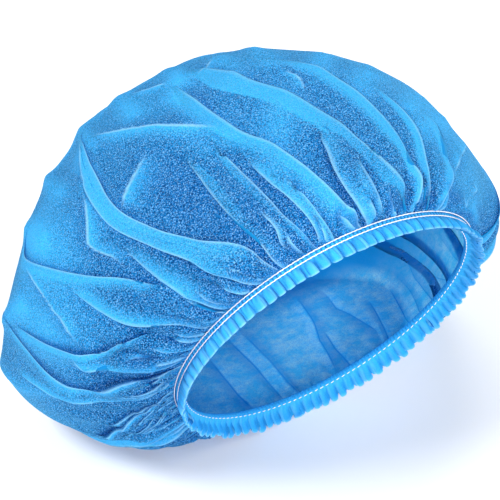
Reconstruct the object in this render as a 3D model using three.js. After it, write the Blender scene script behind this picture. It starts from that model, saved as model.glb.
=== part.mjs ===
// A bouffant surgical cap lying on its side: a puffed crown of thin nonwoven cloth,
// gathered on a narrow elastic band that runs in a casing behind a short ruffle.
// Millimetres and degrees. X runs across the cap, Y from the opening to the crown, Z up.
import * as THREE from 'three';

// Opening, casing and ruffle
const RING_RADIUS = 80;
const RING_LEAN = 21;
const CASING_WIDTH = 2.6;
const RUFFLE_LENGTH = 6.8;
const RUFFLE_COUNT = 40;
const RUFFLE_WAVE = 1.7;
const RUFFLE_SCALLOP = 0.5;
const RUFFLE_THICKNESS = 2.0;
const RUFFLE_FACE = 0.2;
const TURNED_OVERLAP = 0.8;
const CLOTH = 1.0;

// Elastic band in the casing
const ELASTIC_WIDTH = 2.0;
const ELASTIC_THICKNESS = 1.0;
const CLEARANCE = 0.3;
const ELASTIC_SEGMENTS = 80;

// Crown, as a bag drawn in to the opening
const BAG_SIDE = -2;
const BAG_BACK = 41;
const BAG_RISE = 2;
const BAG_HALF_WIDTH = 137;
const BAG_HALF_DEPTH = 116;
const BAG_HALF_HEIGHT = 107;
const MOUTH_TURN = 113;
const MOUTH_LEAN = 16.5;
const DRAW_IN_SPAN = 0.38;
const DRAW_IN_POWER = 1.4;
const FULLNESS = 0.92;
const UPPER_CORNERS = -0.08;
const LOWER_CORNERS = 0.15;

// Gathers that leave the casing and die out on the crown
const GATHER_DEPTH = 1.5;
const GATHER_REACH = 0.2;

// Broad swells and hollows of the crown. Angles go round the opening from +X, over the top at 90.
// Shares go from 0 at the casing to 1 at the middle of the crown.
// Columns: angle, share, height, reach in degrees, reach in share
const SWELLS = [
  [6, 0.14, 3, 14, 0.1],
  [22, 0.29, -4, 10, 0.12],
  [56, 0.42, 2, 12, 0.12],
  [120, 0.64, 2, 14, 0.12],
  [170, 0.46, -4.5, 10, 0.12],
  [199, 0.35, 3.5, 10, 0.12],
  [218, 0.26, -2.5, 7, 0.1],
];

// Folds of the crown.
// Columns: angle at start, angle that bends it, angle at end, share at start, share at end,
// height, half width
const FOLDS = [
  [91, 99, 105, 0.02, 0.5, 4.5, 7],
  [73, 87, 100, 0.02, 0.64, 4.5, 7],
  [71, 62, 80, 0.03, 0.41, 4, 6],
  [64, 57, 66, 0.03, 0.38, 4, 6],
  [120, 126, 138, 0.03, 0.44, 5.5, 7],
  [128, 138, 136, 0.08, 0.43, 3.5, 6],
  [139, 141, 138, 0.02, 0.31, 4, 6],
  [140, 154, 159, 0.17, 0.41, 4.5, 7],
  [149, 156, 157, 0.03, 0.3, 4.5, 7],
  [168, 171, 180, 0.12, 0.35, 4, 6],
  [172, 193, 180, 0.05, 0.34, 4.5, 7],
  [184, 193, 196, 0.03, 0.3, 4, 6],
  [190, 191, 214, 0.02, 0.24, 4, 7],
  [117, 106, 108, 0.02, 0.36, 4.5, 7],
  [88, 92, 88, 0.03, 0.3, 3, 5],
  [85, 84, 85, 0.03, 0.26, 3, 5],
  [60, 48, 51, 0.03, 0.3, 4, 6],
  [55, 56, 33, 0.03, 0.28, 4, 6],
  [43, 43, 27, 0.03, 0.2, 4, 6],
  [104, 124, 132, 0.3, 0.65, 3.5, 8],
  [136, 131, 131, 0.4, 0.66, 2.5, 8],
  [144, 136, 140, 0.3, 0.66, 2.5, 8],
  [169, 162, 159, 0.17, 0.41, 3.5, 7],
  [26, 18, 10, 0.03, 0.34, 4, 7],
  [8, 2, -6, 0.03, 0.36, 4, 7],
  [-8, -12, -4, 0.04, 0.42, 4, 8],
  [-22, -18, -24, 0.04, 0.4, 4, 8],
  [-38, -40, -36, 0.04, 0.34, 3, 7],
  [212, 218, 210, 0.04, 0.4, 4, 8],
  [226, 224, 230, 0.04, 0.36, 3, 7],
  [30, 40, 52, 0.36, 0.74, 4, 9],
  [76, 70, 60, 0.5, 0.82, 3.5, 9],
  [4, 12, 28, 0.44, 0.8, 4, 10],
  [190, 182, 176, 0.42, 0.76, 4, 10],
  [214, 205, 200, 0.46, 0.8, 3.5, 10],
  [-20, -28, -14, 0.46, 0.78, 3.5, 10],
];

// Rings of the crown from the casing to the middle. Columns: share, facets round
const CROWN_RINGS = [
  [0.03, 160],
  [0.07, 160],
  [0.11, 160],
  [0.16, 160],
  [0.21, 160],
  [0.27, 160],
  [0.33, 160],
  [0.41, 160],
  [0.5, 80],
  [0.59, 80],
  [0.68, 80],
  [0.77, 40],
  [0.86, 40],
  [0.94, 20],
];

const RADIANS = Math.PI / 180;
const LEAN_COS = Math.cos(RING_LEAN * RADIANS);
const LEAN_SIN = Math.sin(RING_LEAN * RADIANS);
const FLOOR = -(RING_RADIUS + RUFFLE_WAVE) * LEAN_COS - RUFFLE_LENGTH * LEAN_SIN;

// A smooth step from 0 at low to 1 at high.
function ease(low, high, value) {
  const share = Math.min(1, Math.max(0, (value - low) / (high - low)));
  return share * share * (3 - 2 * share);
}

// A point about the opening: radius from its axis, distance along it toward the crown.
function ringPoint(angle, radius, along) {
  const across = radius * Math.cos(angle);
  const upward = radius * Math.sin(angle);
  return new THREE.Vector3(
    across,
    along * LEAN_COS - upward * LEAN_SIN,
    upward * LEAN_COS + along * LEAN_SIN,
  );
}

// The smallest turn from one angle to another, in radians.
function turnBetween(first, second) {
  return Math.atan2(Math.sin(second - first), Math.cos(second - first));
}

// How far the swells, folds and gathers lift the cloth at an angle and a share of the crown.
function liftAt(angle, share, radius) {
  let lift = 0;
  for (const [middleAngle, middleShare, height, reachAngle, reachShare] of SWELLS) {
    const across = turnBetween(middleAngle * RADIANS, angle) / (reachAngle * RADIANS);
    const along = (share - middleShare) / reachShare;
    lift += height * Math.exp(-0.5 * (across * across + along * along));
  }
  for (const [start, bend, end, from, to, height, halfWidth] of FOLDS) {
    const run = (share - from) / (to - from);
    if (run <= 0 || run >= 1) continue;
    const rest = 1 - run;
    const line = (rest * rest * start + 2 * run * rest * bend + run * run * end) * RADIANS;
    const away = (turnBetween(line, angle) * radius) / halfWidth;
    if (Math.abs(away) > 4) continue;
    const fade = ease(0, 0.18, run) * (1 - ease(0.7, 1, run));
    lift += height * fade * (1 - 0.8 * away * away) * Math.exp(-0.5 * away * away);
  }
  const gather = Math.cos(RUFFLE_COUNT * angle);
  const fade = ease(0, 0.03, share) * (1 - ease(0.05, GATHER_REACH, share));
  return lift + GATHER_DEPTH * gather * fade;
}

// A point on the outer face of the crown, laid flat where it would pass the floor.
function crownPoint(angle, share) {
  const polar = (MOUTH_TURN + MOUTH_LEAN * Math.sin(angle)) * (1 - share) * RADIANS;
  const spread = Math.max(0, Math.sin(polar)) ** FULLNESS;
  const corners = Math.sin(angle) < 0 ? LOWER_CORNERS : UPPER_CORNERS;
  const section = spread * (1 + corners * Math.sin(2 * angle) ** 2);
  const bag = new THREE.Vector3(
    BAG_SIDE + BAG_HALF_WIDTH * section * Math.cos(angle),
    BAG_BACK + BAG_HALF_DEPTH * Math.cos(polar),
    BAG_RISE + BAG_HALF_HEIGHT * section * Math.sin(angle),
  );
  const outward = new THREE.Vector3(
    (bag.x - BAG_SIDE) / BAG_HALF_WIDTH ** 2,
    (bag.y - BAG_BACK) / BAG_HALF_DEPTH ** 2,
    (bag.z - BAG_RISE) / BAG_HALF_HEIGHT ** 2,
  ).normalize();
  const drawn = Math.max(0, 1 - share / DRAW_IN_SPAN) ** DRAW_IN_POWER;
  const point = bag.lerp(ringPoint(angle, RING_RADIUS, CASING_WIDTH), drawn);
  const radius = Math.hypot(point.x - BAG_SIDE, point.z - BAG_RISE);
  point.addScaledVector(outward, liftAt(angle, share, radius));
  point.z = Math.max(point.z, FLOOR);
  return point;
}

// The same point moved in by the thickness of the cloth.
function crownInnerPoint(angle, share) {
  const step = 0.004;
  const round = crownPoint(angle + step, share).sub(crownPoint(angle - step, share));
  const along = crownPoint(angle, share + step).sub(crownPoint(angle, share - step));
  const inward = round.cross(along).normalize();
  return crownPoint(angle, share).addScaledVector(inward, CLOTH);
}

// One ring of points from a function of the angle.
function ringOf(count, place) {
  const points = [];
  for (let index = 0; index < count; index += 1) {
    points.push(place((index / count) * 2 * Math.PI));
  }
  return points;
}

// The hem in section, from the upper seam outside, round the ruffle's edge and into the casing.
// Columns: distance along the opening's axis, depth in from the casing's face, share of the wave
const SLOT_DEPTH = ELASTIC_THICKNESS + 2 * CLEARANCE;
const SLOT_FLOOR = CLEARANCE;
const TURNED_TOP = SLOT_FLOOR + CLEARANCE + ELASTIC_WIDTH + TURNED_OVERLAP;
const HEM_SECTION = [
  [CASING_WIDTH, 0, 0],
  [0, 0, 0],
  [-0.5 * RUFFLE_LENGTH, RUFFLE_FACE, 0.6],
  [-RUFFLE_LENGTH, RUFFLE_FACE, 1],
  [-RUFFLE_LENGTH, RUFFLE_FACE + RUFFLE_THICKNESS, 1],
  [-0.5 * RUFFLE_LENGTH, RUFFLE_FACE + RUFFLE_THICKNESS, 0.6],
  [0, 2 * CLOTH + SLOT_DEPTH, 0],
  [TURNED_TOP, 2 * CLOTH + SLOT_DEPTH, 0],
  [TURNED_TOP, CLOTH + SLOT_DEPTH, 0],
  [SLOT_FLOOR, CLOTH + SLOT_DEPTH, 0],
  [SLOT_FLOOR, CLOTH, 0],
  [CASING_WIDTH, CLOTH, 0],
];

function hemRing(along, depth, share) {
  return ringOf(CROWN_RINGS[0][1], (angle) => {
    const wave = Math.cos(RUFFLE_COUNT * angle) * share;
    return ringPoint(angle, RING_RADIUS - depth + RUFFLE_WAVE * wave, along + RUFFLE_SCALLOP * wave);
  });
}

// Joins two rings, of the same count or one with twice the facets of the other.
function joinRings(faces, first, firstStart, second, secondStart) {
  const steps = Math.max(first.length, second.length);
  const firstPlace = (step) => firstStart + (Math.floor((step * first.length) / steps) % first.length);
  const secondPlace = (step) => secondStart + (Math.floor((step * second.length) / steps) % second.length);
  for (let step = 0; step < steps; step += 1) {
    const corners = [firstPlace(step), firstPlace(step + 1), secondPlace(step + 1), secondPlace(step)];
    if (corners[0] !== corners[1]) faces.push([corners[0], corners[1], corners[2]]);
    if (corners[2] !== corners[3]) faces.push([corners[0], corners[2], corners[3]]);
  }
}

// A closed mesh from rings in order, with a single point allowed at either end.
function meshFromRings(rings, closed) {
  const points = [];
  const starts = [];
  const faces = [];
  for (const ring of rings) {
    starts.push(points.length);
    points.push(...ring);
  }
  for (let index = 0; index + 1 < rings.length; index += 1) {
    joinRings(faces, rings[index], starts[index], rings[index + 1], starts[index + 1]);
  }
  if (closed) {
    const last = rings.length - 1;
    joinRings(faces, rings[last], starts[last], rings[0], starts[0]);
  }
  const geometry = new THREE.BufferGeometry();
  const coordinates = points.flatMap((point) => point.toArray());
  geometry.setAttribute('position', new THREE.Float32BufferAttribute(coordinates, 3));
  geometry.setIndex(faces.flat());
  return geometry;
}

function crownGeometry() {
  const rings = [[crownPoint(0, 1)]];
  for (const [share, count] of [...CROWN_RINGS].reverse()) {
    rings.push(ringOf(count, (angle) => crownPoint(angle, share)));
  }
  for (const [along, depth, share] of HEM_SECTION) {
    rings.push(hemRing(along, depth, share));
  }
  for (const [share, count] of CROWN_RINGS) {
    rings.push(ringOf(count, (angle) => crownInnerPoint(angle, share)));
  }
  const innerMiddle = crownPoint(0, 1);
  innerMiddle.y -= CLOTH;
  rings.push([innerMiddle]);
  return meshFromRings(rings, false);
}

function elasticGeometry() {
  const low = SLOT_FLOOR + CLEARANCE;
  const high = low + ELASTIC_WIDTH;
  const near = RING_RADIUS - CLOTH - CLEARANCE;
  const far = near - ELASTIC_THICKNESS;
  const corners = [[high, near], [low, near], [low, far], [high, far]];
  const rings = [];
  for (const [along, radius] of corners) {
    rings.push(ringOf(ELASTIC_SEGMENTS, (angle) => ringPoint(angle, radius, along)));
  }
  return meshFromRings(rings, true);
}

const nonwoven = new THREE.MeshStandardMaterial({ color: 0x53b4f2, roughness: 0.9 });
const rubber = new THREE.MeshStandardMaterial({ color: 0xf2f2ee, roughness: 0.8 });
const crown = new THREE.Mesh(crownGeometry(), nonwoven);
crown.name = 'crown';
const elastic = new THREE.Mesh(elasticGeometry(), rubber);
elastic.name = 'elastic_band';

// The part stands on the floor with its box centred on the origin.
const part = new THREE.Group();
part.add(crown, elastic);
const box = new THREE.Box3().setFromObject(part, true);
const middle = box.getCenter(new THREE.Vector3());
for (const mesh of part.children) {
  mesh.geometry.translate(-middle.x, -middle.y, -box.min.z);
}

export default part;
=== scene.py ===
"""A bouffant surgical cap of thin blue nonwoven cloth, pleated and gathered on a stitched elastic
casing with a short ruffle, lying on its side. Sizes are in millimetres and become metres in the meshes."""
import math
import bpy
import numpy as np
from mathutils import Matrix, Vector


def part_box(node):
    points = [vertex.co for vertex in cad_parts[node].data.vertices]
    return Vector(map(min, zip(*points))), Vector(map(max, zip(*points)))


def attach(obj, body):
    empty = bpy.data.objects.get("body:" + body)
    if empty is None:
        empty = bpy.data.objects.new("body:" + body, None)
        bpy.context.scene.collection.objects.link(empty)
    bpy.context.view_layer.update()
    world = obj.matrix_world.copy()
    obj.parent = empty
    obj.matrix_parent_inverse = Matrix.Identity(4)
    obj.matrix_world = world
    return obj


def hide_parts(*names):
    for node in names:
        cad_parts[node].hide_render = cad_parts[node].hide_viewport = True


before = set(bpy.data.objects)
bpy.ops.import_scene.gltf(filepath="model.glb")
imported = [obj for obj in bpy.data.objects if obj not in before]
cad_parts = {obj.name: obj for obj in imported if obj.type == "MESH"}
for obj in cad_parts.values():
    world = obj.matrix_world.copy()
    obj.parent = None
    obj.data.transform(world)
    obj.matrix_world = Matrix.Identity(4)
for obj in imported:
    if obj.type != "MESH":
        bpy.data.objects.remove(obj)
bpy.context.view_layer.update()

MM = 0.001

# Opening, casing and ruffle, as in the solid
RING_RADIUS = 80.0
RING_LEAN = math.radians(21)
CASING_WIDTH = 2.6
ELASTIC_MIDDLE = 1.6

# Crown, as a bag drawn in to the opening
BAG_CENTRE = np.array([-2.0, 41.0, 2.0])
BAG_HALF = np.array([137.0, 116.0, 107.0])
MOUTH_TURN = 113.0
MOUTH_LEAN = 16.5
DRAW_IN_SPAN = 0.38
DRAW_IN_POWER = 1.4
FULLNESS = 0.92
UPPER_CORNERS = -0.08
LOWER_CORNERS = 0.15
LEAST_GIRTH = 4

# Height over the floor where the cloth begins to fold and where it folds fully
FOLDS_FROM = 2
FOLDS_FULLY = 16

# Broad swells and hollows of the crown.
# Columns: angle, share, height, reach in degrees, reach in share
SWELLS = [
    (6, 0.14, 3, 14, 0.1),
    (22, 0.29, -4, 10, 0.12),
    (56, 0.42, 2, 12, 0.12),
    (120, 0.64, 2, 14, 0.12),
    (170, 0.46, -4.5, 10, 0.12),
    (199, 0.35, 3.5, 10, 0.12),
    (218, 0.26, -2.5, 7, 0.1),
]

# Pleats of the front, and in the last six rows of the right side. Angles go round the opening from +X,
# over the top at 90 degrees, and shares go from 0 at the casing to 1 at the middle of the crown.
# A crisp pleat has no fade; the fade is how far the pleat's lighter band fades out from its crease, a
# painted light.
# Columns: side the pleat lies on from its crease, width, rise, fade, (angle, share) points of the crease
PLEATS = [
    (1, 5, 5, 0, [(61, 0.02), (61, 0.08), (57, 0.14), (54, 0.2), (54, 0.24), (57, 0.28), (62, 0.31)]),
    (1, 4, 5, 0, [(65, 0.02), (66, 0.09), (66, 0.14), (64, 0.2), (64, 0.24), (65, 0.28), (68, 0.32),
                  (72, 0.36)]),
    (1, 6, 5, 0, [(72, 0.02), (71, 0.08), (70, 0.14), (71, 0.2), (72, 0.25), (74, 0.29), (78, 0.34),
                  (82, 0.38), (88, 0.46)]),
    (1, 9, 6, 0, [(75, 0.02), (76, 0.08), (78, 0.13), (80, 0.18), (82, 0.21), (84, 0.24), (88, 0.3),
                  (94, 0.36), (97, 0.45), (102, 0.56)]),
    (1, 3, 4, 0, [(84, 0.02), (85, 0.06), (86, 0.12), (86, 0.17), (84.5, 0.21)]),
    (-1, 5, 5, 8, [(90, 0.02), (91, 0.09), (92, 0.13), (92, 0.19), (90.5, 0.22), (89, 0.28)]),
    (1, 6, 6, 12, [(92, 0.02), (94, 0.09), (95, 0.13), (96, 0.17), (98, 0.22), (100, 0.26), (103, 0.29),
                   (104, 0.34), (104.5, 0.43), (105, 0.52)]),
    (1, 3, 3, 0, [(102, 0.02), (102, 0.1), (102, 0.16), (101, 0.23)]),
    (-1, 5, 4, 7, [(106, 0.02), (105, 0.09), (105, 0.15), (105.5, 0.19), (106, 0.24), (106, 0.29)]),
    (1, 3.2, 5, 0, [(107.5, 0.02), (108, 0.08), (108.5, 0.12), (109, 0.16), (108.4, 0.2), (108.2, 0.34)]),
    (-1, 3, 3, 0, [(114.5, 0.02), (114, 0.06), (113.5, 0.1), (112, 0.14), (111.5, 0.2)]),
    (-1, 5.5, 5, 0, [(119.3, 0.02), (119, 0.08), (118, 0.12), (118, 0.17), (117, 0.21), (116, 0.25),
                     (115, 0.28), (113.5, 0.35)]),
    (1, 5, 6, 16, [(120.5, 0.02), (120.5, 0.1), (121, 0.145), (123, 0.165), (127, 0.2), (130, 0.23),
                   (132, 0.27), (133.5, 0.3), (133, 0.33), (131, 0.37), (130.7, 0.43), (129.5, 0.52),
                   (129, 0.62)]),
    (-1, 5, 5, 12, [(128, 0.02), (129, 0.1), (132, 0.145), (132.5, 0.18), (134, 0.22), (136.5, 0.27),
                    (137.5, 0.3), (136, 0.35), (135, 0.38), (133, 0.43), (131.8, 0.48), (131, 0.56)]),
    (-1, 5, 5, 8, [(140, 0.02), (140, 0.1), (140, 0.2), (139.5, 0.24), (139, 0.3)]),
    (1, 6, 5, 9, [(141.5, 0.16), (143, 0.2), (146, 0.235), (150, 0.265), (152, 0.29), (155, 0.33),
                  (158, 0.37), (160, 0.48)]),
    (-1, 6, 5, 8, [(150, 0.02), (149, 0.08), (150.5, 0.115), (154, 0.145), (155.5, 0.18), (156, 0.24),
                   (156, 0.31)]),
    (1, 6, 5, 8, [(155, 0.12), (158, 0.145), (163, 0.163), (168, 0.18), (171, 0.22), (174, 0.28),
                  (177, 0.36)]),
    (-1, 5, 4, 7, [(168, 0.02), (168, 0.07), (169, 0.11), (171, 0.14), (174, 0.175), (175, 0.24)]),
    (1, 6, 5, 8, [(171, 0.02), (172, 0.08), (174, 0.1), (178, 0.14), (182, 0.18), (184, 0.21), (183, 0.25),
                  (180, 0.3), (177, 0.42)]),
    (-1, 5, 4, 7, [(184, 0.02), (183.5, 0.07), (185, 0.12), (188, 0.17), (190, 0.25), (193, 0.36)]),
    (1, 5, 4, 7, [(190, 0.02), (192, 0.07), (197, 0.11), (206, 0.14), (212, 0.22)]),
    (1, 6, 1.2, 9, [(341, 0.02), (342, 0.12), (345, 0.24), (349, 0.36)]),
    (-1, 6, 1.2, 10, [(349, 0.02), (350, 0.1), (350, 0.22), (352, 0.42)]),
    (1, 7, 1.2, 12, [(357, 0.02), (358, 0.14), (360, 0.3), (365, 0.46)]),
    (-1, 5, 1.2, 8, [(365, 0.02), (364, 0.1), (362, 0.2), (361, 0.28)]),
    (1, 7, 2, 12, [(371, 0.02), (372, 0.12), (375, 0.26), (380, 0.44)]),
    (-1, 5, 1.5, 9, [(378, 0.02), (377, 0.1), (376, 0.2), (375, 0.3)]),
]

# Creases that run any way over the crown: on the front, then on the lower cloth whose inside shows
# through the opening, then on the back.
# Columns: side given painted light, 1 on the left along the line and -1 on its right, with angles across
# and shares upward, the other side getting painted shade; height; reach of the painted light and shade,
# with a painted highlight on the line; (angle, share) points of the line
CREASES = [
    (1, 3, 8, [(129.5, 0.54), (122, 0.46), (116.5, 0.405), (112.5, 0.365), (108, 0.33), (104, 0.307)]),
    (-1, 2, 8, [(129.5, 0.54), (131.5, 0.485), (133.5, 0.43), (135.5, 0.393)]),
    (-1, 2, 8, [(119, 0.352), (123.5, 0.34), (128, 0.328), (131, 0.318), (133.5, 0.302)]),
    (1, 2, 9, [(113, 0.56), (109.5, 0.527), (106.5, 0.5), (105, 0.475)]),
    (1, 2, 8, [(100, 0.45), (97.5, 0.46), (95.5, 0.475), (93, 0.5)]),
    (1, 2, 5, [(87, 0.357), (85, 0.348), (85, 0.333), (86, 0.312)]),
    (-1, 2, 9, [(135.5, 0.388), (137.5, 0.355), (140, 0.333), (144, 0.305), (144, 0.288), (142.5, 0.263),
                (143, 0.235)]),
    (-1, 3, 9, [(159, 0.378), (159.5, 0.343), (161.5, 0.305), (163, 0.278), (164, 0.258), (166.5, 0.235),
                (169, 0.205)]),
    (-1, 2, 8, [(172, 0.217), (174, 0.195), (175, 0.177), (173.5, 0.16)]),
    (1, 2, 7, [(32, 0.163), (42, 0.1), (44.5, 0.052)]),
    (1, 2, 8, [(20, 0.31), (43, 0.21), (51.5, 0.152), (55.5, 0.103), (57, 0.05)]),
    (1, 1, 6, [(262.5, 0.36), (261.5, 0.24), (260.5, 0.185), (259.5, 0.06)]),
    (1, 1, 6, [(269.5, 0.4), (270.5, 0.255), (270, 0.177), (269.5, 0.04)]),
    (-1, 1, 6, [(274, 0.42), (275, 0.247), (274.5, 0.165), (275.5, 0.04)]),
    (-1, 1, 8, [(296, 0.5), (292.5, 0.36), (291.5, 0.312), (289.5, 0.258), (289, 0.175), (288.5, 0.04)]),
    (1, 1, 5, [(292, 0.31), (291.5, 0.22), (293, 0.145), (293.5, 0.04)]),
    (1, 1, 8, [(302, 0.5), (298.5, 0.33), (300, 0.305), (301.5, 0.273), (303.5, 0.235), (304.5, 0.06)]),
    (1, 1, 5, [(307, 0.34), (306, 0.255), (305.5, 0.06)]),
    (-1, 1, 6, [(315, 0.36), (313.5, 0.29), (313, 0.245), (314, 0.06)]),
    (-1, 1, 6, [(318, 0.38), (318, 0.297), (317, 0.235), (317.5, 0.06)]),
    (-1, 1, 8, [(327, 0.44), (323, 0.367), (321, 0.315), (321, 0.27), (321.5, 0.223), (322, 0.06)]),
    (1, 1, 5, [(323, 0.33), (325.5, 0.275), (328.5, 0.235)]),
    (-1, 1, 6, [(332.5, 0.4), (330, 0.297), (329, 0.253), (330, 0.215), (331, 0.06)]),
    (-1, 1, 6, [(335, 0.36), (334.5, 0.265), (336, 0.21), (337, 0.06)]),
    (1, 2, 9, [(200, 0.42), (212, 0.52), (228, 0.62), (250, 0.7)]),
    (-1, 2, 9, [(330, 0.5), (318, 0.6), (300, 0.68), (280, 0.74)]),
    (1, 2, 9, [(20, 0.48), (28, 0.56), (34, 0.66), (38, 0.78)]),
    (-1, 2, 9, [(60, 0.66), (50, 0.74), (30, 0.81), (-10, 0.86)]),
    (1, 2, 8, [(150, 0.68), (165, 0.75), (190, 0.8), (230, 0.84)]),
    (1, 2, 8, [(100, 0.68), (104, 0.76), (112, 0.84)]),
    (-1, 2, 8, [(260, 0.46), (262, 0.58), (268, 0.68)]),
    (1, 2, 8, [(290, 0.82), (300, 0.76), (308, 0.66), (310, 0.54)]),
    (-1, 2, 9, [(350, 0.48), (356, 0.56), (366, 0.66)]),
]

# Soft ridges that run any way over the crown, with a painted highlight along the crest.
# Columns: height, width, density, (angle, share) points of the ridge
RIDGES = [
    (2, 5, 0.4, [(114.5, 0.352), (113.5, 0.33), (112, 0.302), (111.5, 0.288)]),
    (2.5, 6, 0.6, [(90.5, 0.318), (93.5, 0.295), (98, 0.26)]),
    (3, 6, 0.5, [(186, 0.2), (196, 0.3), (200, 0.42)]),
]

# Ridges that give the outline its slight corners: height, width and density, which is a painted highlight
# on the crest, then the points of each
CORNER_RIDGE = (3.5, 5, 0.6)
CORNER_LINES = [
    [(61, 0.23), (52.5, 0.25), (44, 0.28)],
    [(61.5, 0.27), (56, 0.29), (48, 0.32)],
    [(72.5, 0.31), (68.5, 0.33), (62, 0.36)],
    [(79, 0.35), (76, 0.375), (70, 0.43)],
    [(87.5, 0.39), (85, 0.44), (82, 0.52)],
    [(95, 0.39), (94, 0.425), (92, 0.5)],
    [(103.5, 0.46), (102.5, 0.5), (101, 0.58)],
    [(115.5, 0.46), (115.5, 0.5), (115.5, 0.6)],
    [(128, 0.48), (128.5, 0.53), (129.5, 0.62)],
    [(141, 0.44), (144, 0.505), (147, 0.58)],
    [(152, 0.375), (155, 0.43), (158, 0.5)],
    [(169, 0.34), (174, 0.36), (182, 0.39)],
]

# Places where the cloth is drawn denser, or thinner below nought: partly the cloth's own layering, partly
# painted light and painted shade, and thinner places also get the painted shade.
# Columns: angle, share, density, reach in degrees, reach in share
TONES = [
    (116, 0.29, -0.5, 6, 0.05),
    (121, 0.27, -0.5, 5, 0.05),
    (154, 0.33, 0.6, 9, 0.06),
    (155, 0.43, 0.7, 7, 0.05),
    (171, 0.26, 0.6, 7, 0.05),
    (142, 0.25, -0.5, 5, 0.04),
    (45, 0.2, 0.4, 9, 0.06),
    (110, 0.48, 0.25, 12, 0.06),
    (89, 0.19, -0.3, 3, 0.05),
    (109, 0.19, -0.35, 4, 0.05),
    (178, 0.06, -0.5, 10, 0.04),
    (122, 0.09, -0.8, 6, 0.04),
    (124, 0.22, -0.5, 4, 0.04),
    (86, 0.16, -0.5, 4, 0.04),
    (112, 0.17, -0.5, 4, 0.04),
    (145, 0.07, -0.45, 9, 0.04),
    (107, 0.315, 0.6, 4, 0.03),
    (104, 0.45, 0.2, 5, 0.04),
    (56, 0.1, 0.4, 5, 0.05),
    (35, 0.08, 0.5, 8, 0.05),
    (118, 0.13, -0.4, 5, 0.04),
    (174, 0.31, 0.2, 7, 0.05),
    (192, 0.17, -0.3, 8, 0.05),
]

# Pleats of the underside and ridges of the back, spread evenly with a seeded unevenness. Of the pleats,
# only those are kept that come before the ones of the right side.
FAR_PLEATS = 26
FAR_RIDGES = 34
FAR_FROM = 214
FAR_TO = 360
FAR_END = 338

# Waves of the underside: how many go round, and their height
FAR_WAVES = 34
FAR_WAVE_HEIGHT = 2.0

# Short crisp pleats that fill the gaps at the casing, in degrees: their pitch, where they are drawn
# and kept, their room from a long pleat, and where they begin to lie lower
SHORT_PITCH = 3.5
SHORT_DRAWN = (20, 378)
SHORT_KEPT = (58, 330)
SHORT_ROOM = 1.4
SHORT_LOW_FROM = 195
SHORT_LOW = 0.35

# A pleat whose crease starts below this share reaches the casing
AT_CASING = 0.03

# How far a pleat is folded over, half the width of its three layers for a reach of one,
# and the length of the crown's cloth from the casing to its middle
PLEAT_FOLD = 3.0
PLEAT_HALF = 0.948
MERIDIAN = 215.0

# Distance that stands for no crease nearby
NO_CREASE = 30.0

# Gathers at the casing, from the finest to the broadest; a set with a density gets painted shade in its
# valleys.
# Columns: count round, height at the seam, share where highest, height there, share where gone, density
GATHERS = [
    (236, 0.2, 0.03, 0.6, 0.085, 0.3),
    (104, 0.12, 0.06, 1.0, 0.14, 0.3),
    (52, 0.0, 0.12, 1.9, 0.28, 0.0),
]

# Rows of the crown from the casing to the middle. Columns: share at the end of the run, rows
CROWN_ROWS = [(0.1, 14), (0.4, 38), (0.7, 16), (1.0, 11)]

# Columns of the crown at each pleat, in half widths from its middle toward the side it lies on,
# and how many fill up to the next pleat
PLEAT_COLUMNS = np.array([-1.4, -0.75, 0.0, 0.75, 0.95, 1.2, 1.6])
FILL_COLUMNS = 5

# Least room between the middles of pleats, in half widths
PLEAT_ROOM = 3.7

# Colours of the cloth, lit
PANEL_BLUE = (0.012, 0.25, 0.58, 1)
LAYERED_BLUE = (0.05, 0.55, 1.0, 1)
PORE_BLUE = (0.001, 0.035, 0.15, 1)
# Inside colours: a darker copy for high up as painted shade, then lit copies, blue and milky, as painted
# light
INNER_SHADE_HIGH = (0.005, 0.3, 0.68, 1)
INNER_BLUE = (0.1, 0.7, 1.0, 1)
INNER_MILKY = (0.44, 0.88, 1.0, 1)
# Painted shade of the streaks inside
INNER_FOLD_SHADE = (0.005, 0.34, 0.76, 1)
INNER_PORE = (0.03, 0.32, 0.7, 1)
# Painted highlight on crease edges and the ruffle
CREASE_HIGHLIGHT_BLUE = (0.42, 0.8, 1.0, 1)
# Painted shade of folds, gathers and the ruffle
PAINTED_SHADE_BLUE = (0.001, 0.12, 0.42, 1)
FIBRE_BLUE = (0.32, 0.7, 1.0, 1)
THREAD_WHITE = (0.9, 0.93, 0.95, 1)
ELASTIC_WHITE = (0.85, 0.85, 0.82, 1)
FLOOR_WHITE = (0.92, 0.92, 0.92, 1)
SHEEN_BLUE = (0.15, 0.65, 1.0, 1)

# How strongly each mark tells in the cloth's colour
# Painted sheen toward the middle of the crown
FAR_SHEEN = 0.45
# Painted light on one side of a crease and painted shade on the other
CREASE_PAINTED_LIGHT = 0.9
CREASE_PAINTED_SHADE = 0.7
# Strength of the painted shade
PAINTED_SHADE_SHARE = 0.6
FIBRE_SHARE = 0.75
FIBRE_LOST_IN_LAYERS = 0.4
PORE_SHARE = 0.95
PORE_LOST_IN_LAYERS = 0.66
# Strength of the painted highlight
EDGE_HIGHLIGHT_SHARE = 0.62
# Painted shade streaks inside, by creases and folds, and their share high up
STREAK_CREASE = 0.6
STREAK_PAINTED_SHADE = 0.42
STREAK_HIGH_UP = 0.5
INNER_PORE_SHARE = 0.35
LIGHT_LET_THROUGH = 0.42

# Web of the cloth. Columns: output, scale, detail, roughness, noise where it is 0, noise where it is 1
WEB_TEXTURES = [
    ("Pores", 1550.0, 1.0, 0.5, 0.51, 0.42),
    ("Fibres", 1700.0, 1.0, 0.6, 0.54, 0.62),
    ("Cloud", 110.0, 5.0, 0.7, 0.4, 0.62),
]

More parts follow.
